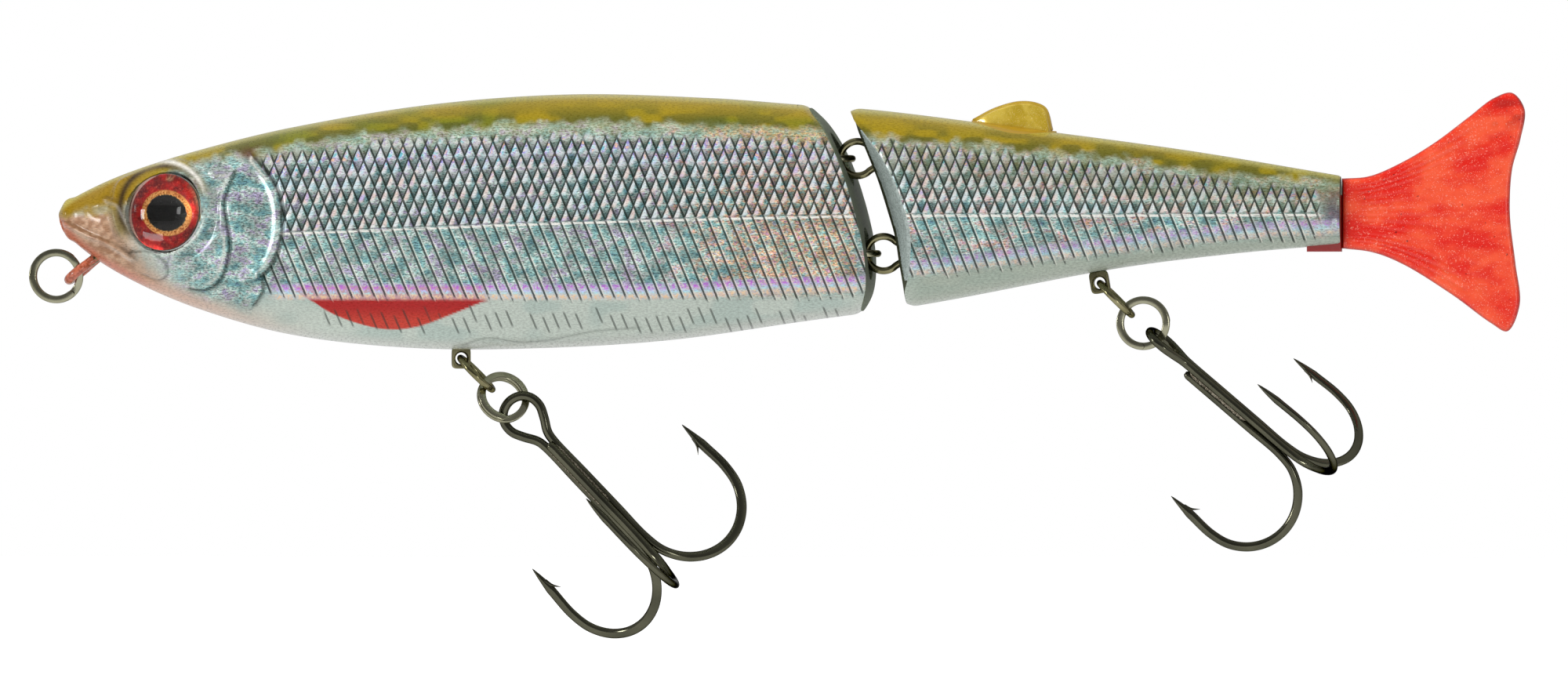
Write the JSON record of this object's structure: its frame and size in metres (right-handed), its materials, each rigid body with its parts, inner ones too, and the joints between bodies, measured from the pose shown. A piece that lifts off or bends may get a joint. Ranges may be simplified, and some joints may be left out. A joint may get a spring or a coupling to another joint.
{
  "type": "swimbait",
  "caption": "Two-section jointed fish lure with foil shells, wire-eye joint, soft tail fin, swivelling hook hangers and treble hooks.",
  "frame": {"origin": "centre of the line tie's hole at the chin, on the mid-plane", "axes": "+X from nose to tail, +Z towards the back, -Y the fish's left flank"},
  "size_m": [0.1836, 0.0272, 0.0666],
  "materials": {
    "foil_shell": "holographic foil under clear gloss coat",
    "iris_foil": "printed foil",
    "clear_lens": "clear",
    "tie_paint": "orange paint",
    "aged_bronze": "black nickel with an olive bronze sheen",
    "black_nickel": "black nickel plate",
    "lead": "cast weight",
    "gold_pearl": "gold pearl",
    "red_pvc": "soft translucent red"
  },
  "bodies": {
    "front_section": {"front_shell_left": "foil_shell", "front_shell_right": "foil_shell", "iris_disc_left": "iris_foil", "iris_disc_right": "iris_foil", "eye_lens_left": "clear_lens", "eye_lens_right": "clear_lens", "line_tie": "tie_paint", "front_joint_eye_upper": "aged_bronze", "front_joint_eye_lower": "aged_bronze", "front_ballast": "lead", "belly_swivel_barrel": "aged_bronze"},
    "rear_section": {"rear_shell_left": "foil_shell", "rear_shell_right": "foil_shell", "rear_joint_eye_upper": "aged_bronze", "rear_joint_eye_lower": "aged_bronze", "rear_ballast": "lead", "rear_swivel_barrel": "aged_bronze", "dorsal_fin": "gold_pearl", "tail_fin": "red_pvc"},
    "nose_ring": {"nose_ring": "aged_bronze"},
    "belly_swivel": {"belly_swivel_eye": "aged_bronze"},
    "belly_link_ring": {"belly_link_ring": "aged_bronze"},
    "belly_split_ring": {"belly_split_ring": "aged_bronze"},
    "belly_treble": {"belly_treble_double": "black_nickel", "belly_treble_single": "black_nickel"},
    "rear_swivel": {"rear_swivel_eye": "aged_bronze"},
    "rear_link_ring": {"rear_link_ring": "aged_bronze"},
    "rear_split_ring": {"rear_split_ring": "aged_bronze"},
    "rear_treble": {"rear_treble_double": "black_nickel", "rear_treble_single": "black_nickel"}
  },
  "joints": [
    {"name": "body_joint", "type": "hinge", "parent": "front_section", "child": "rear_section", "pos_m": [0.09445, 0, 0.01367], "axis": [-0.264, 0, 0.9645], "range_deg": [-30, 30]},
    {"name": "nose_ring_swing", "type": "hinge", "parent": "front_section", "child": "nose_ring", "pos_m": [-0.00137, 0, -0.00109], "axis": [0, 1, 0], "range_deg": [-100, 20]},
    {"name": "belly_swivel_turn", "type": "hinge", "parent": "front_section", "child": "belly_swivel", "pos_m": [0.04707, 0, -0.01073], "axis": [0, 0, 1], "continuous": true},
    {"name": "belly_link_swing", "type": "hinge", "parent": "belly_swivel", "child": "belly_link_ring", "pos_m": [0.04707, 0, -0.01073], "axis": [0, 1, 0], "range_deg": [-10, 70]},
    {"name": "belly_split_ring_swing", "type": "hinge", "parent": "belly_link_ring", "child": "belly_split_ring", "pos_m": [0.05048, 0, -0.01414], "axis": [0, 1, 0], "range_deg": [-8, 20]},
    {"name": "belly_treble_swing", "type": "hinge", "parent": "belly_split_ring", "child": "belly_treble", "pos_m": [0.05407, 0, -0.01683], "axis": [0.5721, 0.5878, 0.5721], "range_deg": [-10, 8]},
    {"name": "rear_swivel_turn", "type": "hinge", "parent": "rear_section", "child": "rear_swivel", "pos_m": [0.12552, 0, -0.00153], "axis": [-0.1701, 0, 0.9854], "continuous": true},
    {"name": "rear_link_swing", "type": "hinge", "parent": "rear_swivel", "child": "rear_link_ring", "pos_m": [0.12552, 0, -0.00153], "axis": [0, 1, 0], "range_deg": [-10, 70]},
    {"name": "rear_split_ring_swing", "type": "hinge", "parent": "rear_link_ring", "child": "rear_split_ring", "pos_m": [0.12902, 0, -0.00503], "axis": [0, 1, 0], "range_deg": [-20, 20]},
    {"name": "rear_treble_swing", "type": "hinge", "parent": "rear_split_ring", "child": "rear_treble", "pos_m": [0.13242, 0, -0.00783], "axis": [0.65, 0, 0.76], "range_deg": [-35, 35]}
  ]
}
